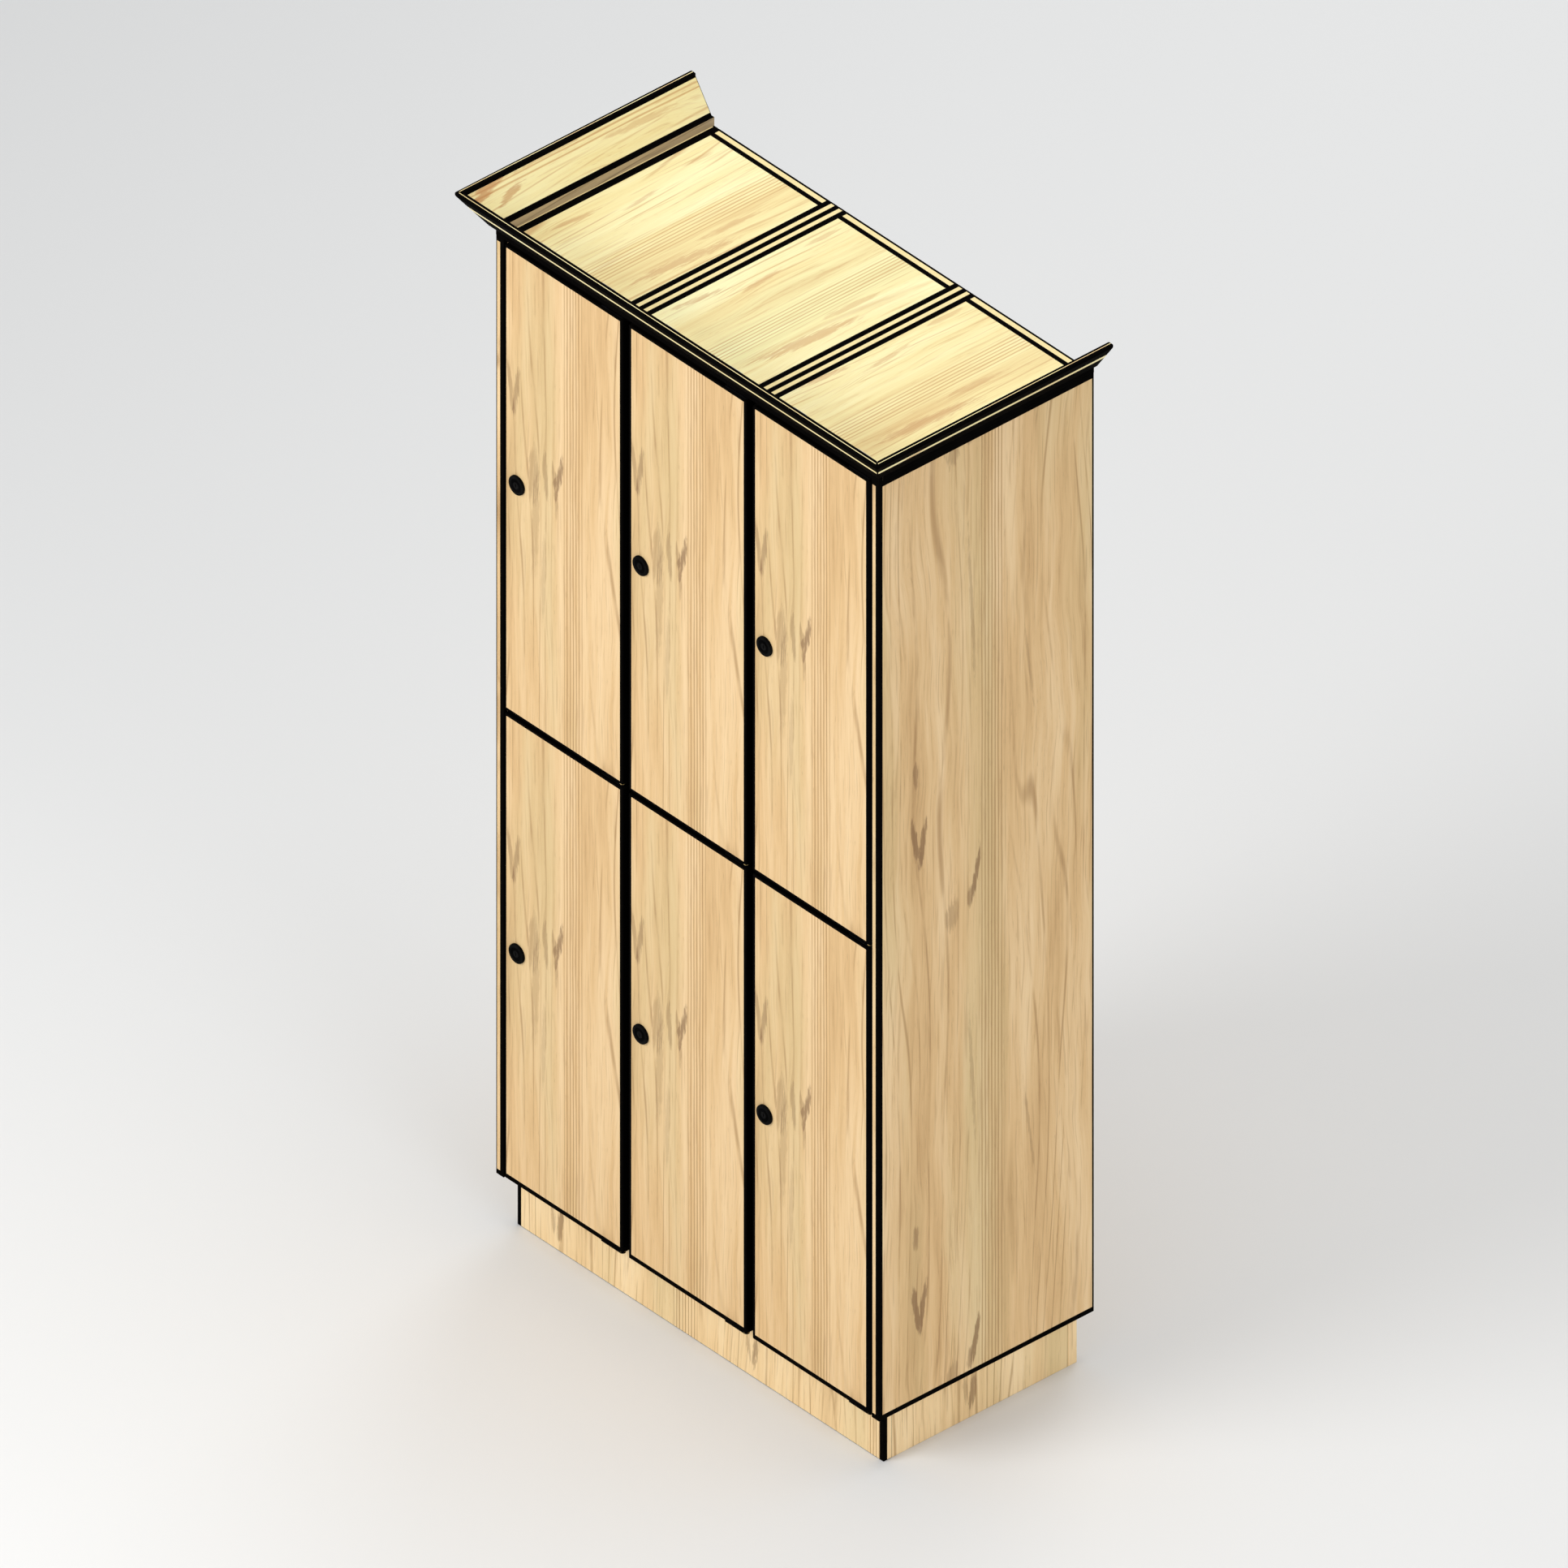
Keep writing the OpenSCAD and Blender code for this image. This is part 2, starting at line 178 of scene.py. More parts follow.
def tint(r, g, b):
    """A colour given as 0 to 255 on screen, as linear light."""
    def linear(v):
        v = v / 255
        return v / 12.92 if v <= 0.04045 else ((v + 0.055) / 1.055) ** 2.4
    return (linear(r), linear(g), linear(b))


# ---------------------------------------------------------------- materials

OAK = {
    "pale": tint(238, 206, 158), "mid": tint(224, 187, 134), "deep": tint(196, 156, 104),
    "line": tint(165, 125, 78), "mark": tint(128, 92, 56), "cool": tint(205, 190, 138),
}
# Near black: the edging's colour, also painted as shade on the fronts of the inner side panels
EDGING_AND_SHADE_COLOUR = (0.0015, 0.0013, 0.0012)
RUBBED_EDGE = (0.003, 0.0026, 0.0023)

# The noises drawn on a board: cycles per metre across and along the grain, octaves,
# roughness and seed
BROAD = (17.0, 1.5, 2.0, 0.55, 3.1)
STREAKS = (75.0, 3.2, 4.0, 0.62, 7.7)
FIBRE = (520.0, 11.0, 2.0, 0.55, 1.3)
PORES = (900.0, 42.0, 1.0, 0.55, 5.9)
STROKES = (250.0, 8.0, 2.0, 0.50, 15.2)
PATCHES = (28.0, 5.0, 3.0, 0.55, 9.2)
COOL_ZONES = (9.0, 0.9, 2.0, 0.55, 12.4)
RAGGED = (300.0, 40.0, 3.0, 0.60, 18.6)

# Lines per metre: the growth rings' contours and the straight fine lines
RING_PITCH, FINE_PITCH = 44.0, 145.0
# How many rings the rise and fall of the wood shifts the contours by
RING_SWING = 9.0
# How far below a board's low end its pattern of marks starts, as a share of the repeat
MARKS_BELOW = 0.1
OAK_GLOSS = 0.32
# A face counts as looking along an axis between these cosines, from not at all to wholly
FACING = (0.45, 0.6)


class Grain:
    """The coordinates of one board along and across its grain, and noises drawn on them."""

    def __init__(self, g, origin, along, across, width, lines, figure):
        self.g, self.figure = g, figure
        shift = g.add("ShaderNodeVectorMath", operation="SUBTRACT")
        g.join(g.coords.outputs["Object"], shift.inputs[0])
        shift.inputs[1].default_value = origin
        parts = g.add("ShaderNodeSeparateXYZ")
        g.join(shift.outputs[0], parts.inputs[0])
        self.up, self.over = parts.outputs[along], parts.outputs[across]
        self.through = parts.outputs[X + Y + Z - along - across]
        self.own_over = g.math("MODULO", self.over, width)

        # The straight lines sit in a band; elsewhere the grain wanders
        middle = (lines[0] + lines[1]) / 2
        half_band = (lines[1] - lines[0]) / 2
        share = g.math("DIVIDE", self.own_over, width)
        off_band = g.math("ABSOLUTE", g.math("SUBTRACT", share, middle))
        self.band = g.math("SUBTRACT", 1.0, g.step(off_band, half_band * 0.75, half_band * 1.25))
        self.loose = g.step(off_band, half_band, half_band * 3.5)
        slow = g.noise(self.place(g.math("MULTIPLY", self.over, 4.0), 2.0, 2.6, figure), detail=2.0)
        reach = g.math("MULTIPLY_ADD", self.loose, 0.05, 0.004)
        wander = g.math("MULTIPLY", g.math("SUBTRACT", slow, 0.5), reach)
        self.bent_over = g.math("ADD", self.over, wander)

    def place(self, over, through_scale, up_scale, up_shift=0.0):
        """A point for a noise, from a place across and scales for the other two ways."""
        g = self.g
        return g.vector(over, g.math("MULTIPLY", self.through, through_scale),
                        g.math("MULTIPLY_ADD", self.up, up_scale, up_shift))

    def noise(self, kind):
        """One of the noises listed above, drawn out along the grain."""
        over_scale, up_scale, detail, roughness, seed = kind
        over = self.g.math("MULTIPLY_ADD", self.bent_over, over_scale, self.figure + seed)
        return self.g.noise(self.place(over, over_scale * 0.5, up_scale),
                            detail=detail, roughness=roughness)

    def contours(self):
        """Contours where the saw cut across the growth rings."""
        g = self.g
        over = g.math("MULTIPLY_ADD", self.over, 8.0, self.figure)
        hills = g.noise(self.place(over, 3.0, 0.8), detail=1.0, roughness=0.3)
        flat = g.math("MULTIPLY", self.over, RING_PITCH)
        rings = g.math("FRACT", g.math("MULTIPLY_ADD", hills, RING_SWING, flat))
        from_ring = g.math("ABSOLUTE", g.math("SUBTRACT", rings, 0.5))
        contour = g.math("SUBTRACT", 1.0, g.step(from_ring, 0.01, 0.12))
        contour = g.math("MULTIPLY", contour, g.step(self.noise(PATCHES), 0.36, 0.60))
        return g.math("MULTIPLY", contour, g.math("MULTIPLY_ADD", self.loose, 0.9, 0.1))

    def fine_lines(self, streaks):
        """Fine straight lines, a few millimetres apart."""
        g = self.g
        place = g.math("MULTIPLY_ADD", streaks, 0.5, g.math("MULTIPLY", self.bent_over, FINE_PITCH))
        comb = g.math("ABSOLUTE", g.math("SUBTRACT", g.math("FRACT", place), 0.5))
        return g.math("MULTIPLY", g.math("SUBTRACT", 1.0, g.step(comb, 0.05, 0.26)), self.band)

    def stain(self, marks, width, length, repeat, streaks):
        """Single dark marks with ragged outlines."""
        g = self.g
        ragged = g.total((0.7, self.noise(RAGGED)), (0.5, streaks))
        own_up = self.up
        if repeat:
            below = MARKS_BELOW * repeat
            wrapped = g.math("MODULO", g.math("ADD", self.up, below), repeat)
            own_up = g.math("SUBTRACT", wrapped, below)
        stain = 0.0
        for up, over, half_up, half_over, slant, strength in marks:
            off_up = g.math("SUBTRACT", own_up, up * length)
            level = g.math("MULTIPLY_ADD", off_up, -slant, self.own_over)
            off_over = g.math("SUBTRACT", level, over * width)
            reach = g.math("ADD", g.math("POWER", g.math("DIVIDE", off_up, half_up), 2.0),
                           g.math("POWER", g.math("DIVIDE", off_over, half_over), 2.0))
            torn = g.math("MULTIPLY_ADD", ragged, -4.5, g.math("ADD", reach, 2.7))
            inside = g.math("SUBTRACT", 1.0, g.step(torn, 0.25, 1.25))
            stain = g.math("MULTIPLY_ADD", inside, strength, stain)
        return g.math("MINIMUM", stain, 0.75)


def oak(name, origin, along, across, width, length, palette=OAK,
        lines=(0.50, 0.66), marks=(), repeat=None, figure=0.0, dark_faces=(), lit_top=None):
    """Pale oak with its grain along one axis.

    lines is the share of the width that holds straight fine lines. Each mark is a soft dark
    streak: its place up and across as shares, its half length and half width in metres, its
    slant and its strength. The lines and marks come again at every width across the board,
    and the marks at every repeat metres up it. figure moves the pattern, so that boards differ.
    Faces that look along an (axis, sign) pair in dark_faces have the edging's colour, which is painted
    shade where such a face is seen only in shade, and the last argument, if given, is a lighter colour
    painted on the faces that look up, as light from above.
    """
    g = Graph(name)
    grain = Grain(g, origin, along, across, width, lines, figure)
    streaks, fibre = grain.noise(STREAKS), grain.noise(FIBRE)
    contour, fine = grain.contours(), grain.fine_lines(streaks)
    strokes = g.step(grain.noise(STROKES), 0.54, 0.70)
    cool_zone = g.step(grain.noise(COOL_ZONES), 0.48, 0.72)
    fleck = g.math("MULTIPLY", g.step(grain.noise(PORES), 0.62, 0.72), g.step(streaks, 0.42, 0.62))

    tone = g.total((0.75, grain.noise(BROAD)), (0.55, streaks), (0.16, fibre))
    colour = g.ramp(g.math("SUBTRACT", tone, 0.25), (
        (0.30, palette["pale"]), (0.52, palette["mid"]), (0.80, palette["deep"])))
    for strength, layer, key in ((0.35, cool_zone, "cool"), (0.32, strokes, "line"),
                                 (0.62, contour, "line"), (0.72, fine, "line"), (0.30, fleck, "mark")):
        colour = g.blend(g.math("MULTIPLY", layer, strength), colour, palette[key])
    if marks:
        colour = g.blend(grain.stain(marks, width, length, repeat, streaks), colour, palette["mark"])

    facing = g.add("ShaderNodeSeparateXYZ")
    g.join(g.coords.outputs["Normal"], facing.inputs[0])
    # Painted light: faces that look up are blended towards a lighter colour
    if lit_top:
        up = g.step(facing.outputs[Z], *FACING)
        colour = g.blend(g.math("MULTIPLY", up, 0.8), colour, lit_top)
    gloss = OAK_GLOSS
    # Black on the listed faces: edging on the doors, painted shade on the inner side panels' fronts
    for axis, sign in dark_faces:
        dark = g.step(g.math("MULTIPLY", facing.outputs[axis], sign), *FACING)
        colour = g.blend(dark, colour, EDGING_AND_SHADE_COLOUR)
        gloss = g.math("MULTIPLY", gloss, g.math("SUBTRACT", 1.0, dark))

    g.set(Base_Color=colour, Specular_IOR_Level=gloss)
    g.set(Roughness=g.math("MULTIPLY_ADD", streaks, 0.16, 0.44))
    relief = g.total((0.5, fibre), (-0.5, fleck), (-0.35, fine), (-0.3, contour))
    g.bump(relief, 0.35, 0.0006)
    return g.material


def edging(name):
    """Near-black plastic edging with a slight haze and rubbed spots; the same black is also painted as
    shade under the cornice.
    """
    g = Graph(name)
    haze = g.noise(g.coords.outputs["Object"], scale=34.0, detail=3.0)
    grit = g.noise(g.coords.outputs["Object"], scale=900.0, detail=1.0)
    g.set(Base_Color=g.ramp(haze, ((0.3, EDGING_AND_SHADE_COLOUR), (0.8, RUBBED_EDGE))))
    g.set(Roughness=g.math("MULTIPLY_ADD", haze, 0.2, 0.6), Specular_IOR_Level=0.004)
    g.bump(grit, 0.2, 0.0002)
    return g.material


def coated_metal(name, base, rubbed, roughness, metallic, specular=0.5):
    """Painted, plated or bare metal with cloudy polish and fine scratches."""
    g = Graph(name)
    place = g.coords.outputs["Object"]
    cloud = g.noise(place, scale=60.0, detail=4.0)
    stretch = g.add("ShaderNodeMapping")
    stretch.inputs["Scale"].default_value = (900.0, 900.0, 60.0)
    g.join(place, stretch.inputs["Vector"])
    scratch = g.noise(stretch.outputs[0], scale=1.0, detail=2.0)
    g.set(Base_Color=g.ramp(g.total((0.7, cloud), (0.3, scratch)), ((0.35, base), (0.75, rubbed))))
    g.set(Roughness=g.math("MULTIPLY_ADD", scratch, 0.25, roughness - 0.1))
    g.set(Metallic=metallic, Specular_IOR_Level=specular)
    g.bump(scratch, 0.12, 0.0001)
    return g.material


def moulded(name, base, light, roughness):
    """Moulded plastic with a fine spark-eroded texture."""
    g = Graph(name)
    place = g.coords.outputs["Object"]
    cloud = g.noise(place, scale=25.0, detail=3.0)
    grain = g.noise(place, scale=1500.0, detail=2.0)
    g.set(Base_Color=g.ramp(cloud, ((0.3, base), (0.8, light))))
    g.set(Roughness=g.math("MULTIPLY_ADD", grain, 0.15, roughness), Specular_IOR_Level=0.4)
    g.bump(grain, 0.25, 0.0002)
    return g.material


# The edging's black, also painted as shade on the outside and top of the strips under the cornice
EDGING_AND_SHADE = edging("edging_and_shade_black")
LOCK_BLACK = coated_metal("lock_black", (0.0015, 0.0015, 0.0015), (0.004, 0.004, 0.0045),
                          0.7, 0.0, specular=0.004)
PLUG_BLACK = coated_metal("lock_plug_black", (0.003, 0.003, 0.003), (0.010, 0.0096, 0.0092),
                          0.5, 0.0, specular=0.02)
RING_BLACK = coated_metal("lock_ring_black", (0.002, 0.002, 0.002), (0.008, 0.008, 0.008),
                          0.5, 0.0, specular=0.01)
ZINC = coated_metal("zinc_plated", (0.42, 0.42, 0.41), (0.62, 0.61, 0.58), 0.36, 1.0)
BRASS = coated_metal("brass", (0.50, 0.34, 0.12), (0.70, 0.52, 0.24), 0.34, 1.0)
CASE = moulded("lock_case_grey", (0.045, 0.046, 0.05), (0.075, 0.076, 0.08), 0.48)
FOOT = moulded("foot_black", (0.02, 0.02, 0.02), (0.05, 0.05, 0.05), 0.6)
ACETAL = moulded("slide_acetal", (0.62, 0.60, 0.52), (0.72, 0.70, 0.63), 0.38)


# ---------------------------------------------------------------- boards

# Radius that breaks a board's outer edges
ROUNDING = 1.0 * MM
ROUND_STEPS = 2
# Faces that turn less than this are one flat face
FLAT = math.radians(0.5)


def islands(bm):
    """The groups of joined vertices in a mesh."""
    left, groups = set(bm.verts), []
    while left:
        todo, group = [left.pop()], []
        while todo:
            vert = todo.pop()
            group.append(vert)
            near = [e.other_vert(vert) for e in vert.link_edges]
            fresh = [n for n in near if n in left]
            left.difference_update(fresh)
            todo.extend(fresh)
        groups.append(group)
    return groups


def box_of(verts):
    """The low and high corners of some vertices."""
    return [[pick(v.co[k] for v in verts) for k in AXES] for pick in (min, max)]


def joined_copy(node):
    """A CAD node's mesh as a bmesh of flat, welded faces."""
    bm = bmesh.new()
    bm.from_mesh(NODES[node].data)
    bmesh.ops.remove_doubles(bm, verts=bm.verts, dist=WELD)
    bmesh.ops.dissolve_limit(bm, angle_limit=FLAT, verts=bm.verts, edges=bm.edges)
    return bm


def outline_edges(bm):
    """The edges that run the whole length of a board's box."""
    found = []
    for group in islands(bm):
        low, high = box_of(group)
        for edge in {e for v in group for e in v.link_edges}:
            a, b = (v.co for v in edge.verts)
            planes = sum(
                abs(a[k] - side[k]) < NEAR and abs(b[k] - side[k]) < NEAR
                for k in AXES for side in (low, high))
            reach = max(AXES, key=lambda k: abs(a[k] - b[k]))
            whole = abs(abs(a[reach] - b[reach]) - (high[reach] - low[reach])) < NEAR
            if planes == 2 and whole:
                found.append(edge)
    return found


def round_edges(bm, edges, width=ROUNDING, material=1):
    """Break some edges, as a rule in the edging's material."""
    made = bmesh.ops.bevel(bm, geom=edges, offset=width, segments=ROUND_STEPS, profile=0.5,
                           affect="EDGES", clamp_overlap=False, material=material)
    for face in made["faces"]:
        face.smooth = True


def cut(bm, verts, axis, place):
    """Split the faces of one board along a plane across an axis."""
    edges = {e for v in verts for e in v.link_edges}
    faces = {f for v in verts for f in v.link_faces}
    point, normal = Vector(), Vector()
    point[axis], normal[axis] = place, 1
    bmesh.ops.bisect_plane(bm, geom=[*verts, *edges, *faces], dist=0.001 * MM,
                           plane_co=point, plane_no=normal)


def edge_bands(bm, bands):
    """Give the outer faces of each board a dark band along their edges.

    bands holds, for each axis, how far the band reaches in from the low and the high side.
    """
    banded = [(axis, side) for axis in AXES for side in (0, 1) if bands[axis][side]]
    for axis, side in banded:
        for group in islands(bm):
            cut(bm, group, axis, box_of(group)[side][axis] + (1, -1)[side] * bands[axis][side])
    for group in islands(bm):
        low, high = box_of(group)
        for face in {f for v in group for f in v.link_faces}:
            centre = face.calc_center_median()
            look = max(AXES, key=lambda k: abs(face.normal[k]))
            outer = min(centre[look] - low[look], high[look] - centre[look]) < NEAR
            for axis in AXES:
                near_side = (centre[axis] - low[axis] < bands[axis][0]
                             or high[axis] - centre[axis] < bands[axis][1])
                if outer and axis != look and near_side:
                    face.material_index = 1


def stand_in(node, bm, materials):
    """The finished piece in place of a CAD node."""
    mesh = bpy.data.meshes.new(node + "_board")
    bm.to_mesh(mesh)
    bm.free()
    for material in materials:
        mesh.materials.append(material)
    piece = bpy.data.objects.new(node + "_board", mesh)
    bpy.context.scene.collection.objects.link(piece)
    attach(piece, BODY_OF[node])
    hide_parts(node)
    return piece


def edged_board(node, material, bands):
    """A CAD board with its edges broken and, where it has bands, dark edges."""
    bm = joined_copy(node)
    round_edges(bm, outline_edges(bm), material=int(any(map(any, bands))))
    edge_bands(bm, [[side * MM for side in pair] for pair in bands])
    return stand_in(node, bm, (material, EDGING_AND_SHADE))


def span(node):
    """A node's low corner and its size."""
    low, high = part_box(node)
    return low, high - low


# The soft dark marks on the boards, in the terms of oak()
DOOR_MARKS = (
    (0.582, 0.468, 0.040, 0.0065, 0.12, 0.72),
    (0.568, 0.418, 0.026, 0.0050, -0.15, 0.42),
    (0.548, 0.438, 0.026, 0.0065, 0.03, 0.60),
    (0.510, 0.440, 0.030, 0.0040, 0.0, 0.35),
    (0.560, 0.345, 0.050, 0.0060, -0.08, 0.42),
    (0.545, 0.245, 0.060, 0.0150, 0.05, 0.32),
    (0.700, 0.098, 0.048, 0.0065, 0.12, 0.50),
    (0.705, 0.045, 0.046, 0.0060, -0.12, 0.40),
    (0.450, 0.260, 0.110, 0.0090, 0.03, 0.24),
    (0.340, 0.330, 0.090, 0.0060, 0.03, 0.22),
)
SIDE_MARKS = (
    (0.1015, 0.170, 0.046, 0.0060, -0.145, 0.72),
    (0.1040, 0.207, 0.046, 0.0060, 0.145, 0.72),
    (0.0820, 0.190, 0.022, 0.0055, 0.0, 0.60),
    (0.1760, 0.170, 0.024, 0.0060, 0.0, 0.50),
    (0.0370, 0.450, 0.044, 0.0055, 0.17, 0.75),
    (0.0180, 0.425, 0.022, 0.0070, 0.10, 0.55),
    (0.0080, 0.340, 0.030, 0.0150, 0.10, 0.38),
    (0.3300, 0.430, 0.150, 0.0040, -0.05, 0.30),
    (0.2300, 0.700, 0.100, 0.0030, -0.13, 0.30),
)
TOP_MARKS = (
    (0.24, 0.12, 0.050, 0.0055, 0.10, 0.45),
    (0.52, 0.22, 0.045, 0.0055, -0.08, 0.40),
    (0.36, 0.80, 0.100, 0.0110, 0.08, 0.50),
    (0.64, 0.72, 0.060, 0.0070, 0.05, 0.35),
    (0.86, 0.14, 0.035, 0.0055, 0.0, 0.35),
)
CORNICE_MARKS = (
    (0.10, 0.60, 0.034, 0.0080, 0.22, 0.75),
    (0.18, 0.36, 0.030, 0.0060, 0.28, 0.60),
    (0.46, 0.72, 0.110, 0.0050, 0.03, 0.38),
    (0.74, 0.45, 0.080, 0.0050, -0.02, 0.35),
    (0.90, 0.78, 0.045, 0.0045, 0.08, 0.45),
)
PLINTH_FRONT_MARKS = (
    (0.10, 0.220, 0.034, 0.0070, 0.12, 0.60),
    (0.11, 0.185, 0.030, 0.0050, -0.10, 0.40),
)
PLINTH_SIDE_MARKS = (
    (0.10, 0.370, 0.034, 0.0070, 0.12, 0.60),
    (0.11, 0.335, 0.030, 0.0050, -0.10, 0.40),
)
# The side's marks come twice in its height
SIDE_REPEAT = 0.886
SIDE_LINES, PLINTH_LINES = (0.47, 0.58), (0.80, 0.92)
# The width and length, in metres, that the plinth's and the cornice's patterns are drawn for
PLINTH_WIDTH, PLINTH_LENGTH = 0.458, 0.5
CORNICE_WIDTH = 0.08

# A lighter, greener copy of the oak, painted as light from above, for the top panels, the cornice and
# the faces that look up
LIT_OAK = dict(OAK, pale=tint(250, 240, 186), mid=tint(243, 226, 164), deep=tint(224, 190, 128),
           line=tint(204, 156, 98), mark=tint(196, 138, 86), cool=tint(234, 242, 186))
# A darker copy of the oak, painted shade, for the inside of the strips under the cornice
SHADED_OAK = dict(OAK, pale=tint(203, 181, 144), mid=tint(187, 165, 130), deep=tint(158, 136, 104),
             line=tint(130, 108, 80), cool=tint(190, 174, 136))
PLINTH = dict(OAK, pale=tint(254, 226, 178), mid=tint(244, 211, 158), deep=tint(218, 182, 130))

# How far, in mm, the dark bands reach in along X, Y and Z from the low and the high side
DOOR_SIDE_BANDS = {"1": (3.4, 6.0), "2": (6.0, 6.0), "3": (6.0, 9.6)}
DOOR_END_BANDS = {"lower": (9.4, 4.6), "upper": (4.8, 4.6)}
END_BANDS = ((2.6, 8.2), (7.4, 4.0), (10.0, 10.0))
INNER_BANDS = ((5.0, 5.0), (4.0, 4.0), (3.6, 3.6))
PANEL_BANDS = ((6.0, 6.0), (4.6, 4.6), (3.6, 3.6))
PLINTH_END_BANDS = ((9.0, 9.0), (8.0, 0), (0, 0))
PLAIN = ((0, 0), (0, 0), (0, 0))
DOOR_EDGES = ((X, -1), (X, 1), (Z, -1), (Z, 1))

for key in DOORS:
    low, size = span("door_" + key)
    grown = oak("oak_door_" + key, low, Z, X, size.x, size.z, marks=DOOR_MARKS,
                dark_faces=DOOR_EDGES)
    column, tier = key.split("_")
    edged_board("door_" + key, grown, (DOOR_SIDE_BANDS[column], (0, 0), DOOR_END_BANDS[tier]))

for name, figure, bands in (
        ("end_panel_left", 0.0, END_BANDS), ("end_panel_right", 4.2, END_BANDS),
        ("column_1_side_right", 8.0, INNER_BANDS), ("column_2_side_left", 9.0, INNER_BANDS),
        ("column_2_side_right", 10.0, INNER_BANDS), ("column_3_side_left", 11.0, INNER_BANDS)):
    low, size = span(name)
    marks = SIDE_MARKS if name.startswith("end") else ()
    # The inner side panels' fronts, seen only through the gaps between doors, are painted black as
    # shade
    front = ((Y, -1),) if bands is INNER_BANDS else ()
    # Faces that look up get the lighter oak's mid colour, painted as light from above
    grown = oak("oak_" + name, low, Z, Y, size.y, size.z, lines=SIDE_LINES, marks=marks,
                repeat=SIDE_REPEAT, figure=figure, dark_faces=front, lit_top=LIT_OAK["mid"])
    edged_board(name, grown, bands)

# The top panels take the lighter oak, painted as light from above, and the back panels' faces that
# look up are painted lighter the same way
for name, along, palette, figure, lit_top, marks in (
        ("top_panels", Y, LIT_OAK, 2.0, None, TOP_MARKS), ("back_panels", Z, OAK, 5.0, LIT_OAK["mid"], ()),
        ("bottom_panels", Y, OAK, 6.0, None, ()), ("tier_shelves", Y, OAK, 6.5, None, ())):
    low, size = span(name)
    column_width = size.x / len(COLUMNS)
    grown = oak("oak_" + name, low, along, X, column_width, size[along], palette=palette,
                marks=marks, figure=figure, lit_top=lit_top)
    edged_board(name, grown, PANEL_BANDS)

for name, across, bands, marks in (
        ("plinth_front", X, PLINTH_END_BANDS, PLINTH_FRONT_MARKS), ("plinth_back", X, PLAIN, ()),
        ("plinth_left", Y, PLAIN, ()), ("plinth_right", Y, PLAIN, PLINTH_SIDE_MARKS)):
    low, size = span(name)
    grown = oak("oak_" + name, low, Z, across, PLINTH_WIDTH, PLINTH_LENGTH, palette=PLINTH,
                lines=PLINTH_LINES, marks=marks, figure=3.0)
    edged_board(name, grown, bands)

# The dark bands of the cornice: on its flat top, and up from the foot and down from the top
# of its leaning faces
FLAT_OUTER_BAND, FLAT_INNER_BAND = 4.6 * MM, 5.0 * MM
OUTER_LOW_BAND, OUTER_HIGH_BAND = 26.5 * MM, 26.5 * MM
INNER_LOW_BAND, INNER_HIGH_BAND = 5.0 * MM, 5.0 * MM
CORNICE_ROUNDING = 1.6 * MM
# Edges of the cornice that turn more than this are broken
SHARP = math.radians(12)


def cornice_board(node, material, axis, sign):
    """A leaning board whose outside looks along an axis, with its dark bands."""
    bm = joined_copy(node)
    low, high = box_of(bm.verts)
    crest = [v.co[axis] * sign for v in bm.verts if high[Z] - v.co.z < NEAR]
    outside, inside = max(crest), min(crest)
    flat = (outside - FLAT_OUTER_BAND, inside + FLAT_INNER_BAND)
    for place in flat:
        cut(bm, bm.verts, axis, place * sign)
    for place in (low[Z] + OUTER_LOW_BAND, high[Z] - OUTER_HIGH_BAND,
                  low[Z] + INNER_LOW_BAND, high[Z] - INNER_HIGH_BAND):
        cut(bm, bm.verts, Z, place)
    for face in bm.faces:
        centre = face.calc_center_median()
        if face.normal.z > 0.9:
            place = centre[axis] * sign
            dark = place > flat[0] or place < flat[1]
        elif face.normal[axis] * sign > 0.2:
            dark = centre.z < low[Z] + OUTER_LOW_BAND or centre.z > high[Z] - OUTER_HIGH_BAND
        else:
            dark = centre.z < low[Z] + INNER_LOW_BAND or centre.z > high[Z] - INNER_HIGH_BAND
        face.material_index = int(dark)
    sharp = [e for e in bm.edges if len(e.link_faces) == 2 and e.calc_face_angle(0) > SHARP]
    round_edges(bm, sharp, CORNICE_ROUNDING)
    stand_in(node, bm, (material, EDGING_AND_SHADE))


for name, along, axis, sign in (("cornice_front", X, Y, -1), ("cornice_left", Y, X, -1),
                                ("cornice_right", Y, X, 1)):
    low, size = span(name)
    marks = CORNICE_MARKS if along == Y else ()
    # The cornice takes the lighter oak, painted as light from above
    grown = oak("oak_" + name, low, along, Z, CORNICE_WIDTH, size[along], palette=LIT_OAK,
                marks=marks, figure=7.0)
    cornice_board(name, grown, axis, sign)


def cornice_base():
    """The strips under the cornice: black outside and on top, painted as the shade under the cornice's
    overhang, and a darker brown inside, also painted shade.
    """
    node = "cornice_base"
    low, size = span(node)
    bm = joined_copy(node)
    low_side, high_side = box_of(bm.verts)
    for face in bm.faces:
        centre = face.calc_center_median()
        outside = (centre.x - low_side[X] < NEAR or high_side[X] - centre.x < NEAR
                   or centre.y - low_side[Y] < NEAR)
        # Painted shade: the outside and the top, under the cornice's overhang, are black
        face.material_index = int(outside or face.normal.z > 0.9)
    grown = oak("oak_" + node, low, Y, Z, CORNICE_WIDTH, size.y, palette=SHADED_OAK, figure=7.0)
    stand_in(node, bm, (grown, EDGING_AND_SHADE))


cornice_base()


# ---------------------------------------------------------------- hardware

# Corners sharper than this are broken
CORNER = math.radians(40)


def finish_node(node, material, bevel):
    """A CAD node with its own material and its corners broken."""
    part = NODES[node]
    part.data.materials.clear()
    part.data.materials.append(material)
    weld = part.modifiers.new("weld", "WELD")
    weld.merge_threshold = WELD
    corner = part.modifiers.new("corner", "BEVEL")
    corner.width = bevel
    corner.segments = 2
    corner.limit_method = "ANGLE"
    corner.angle_limit = CORNER


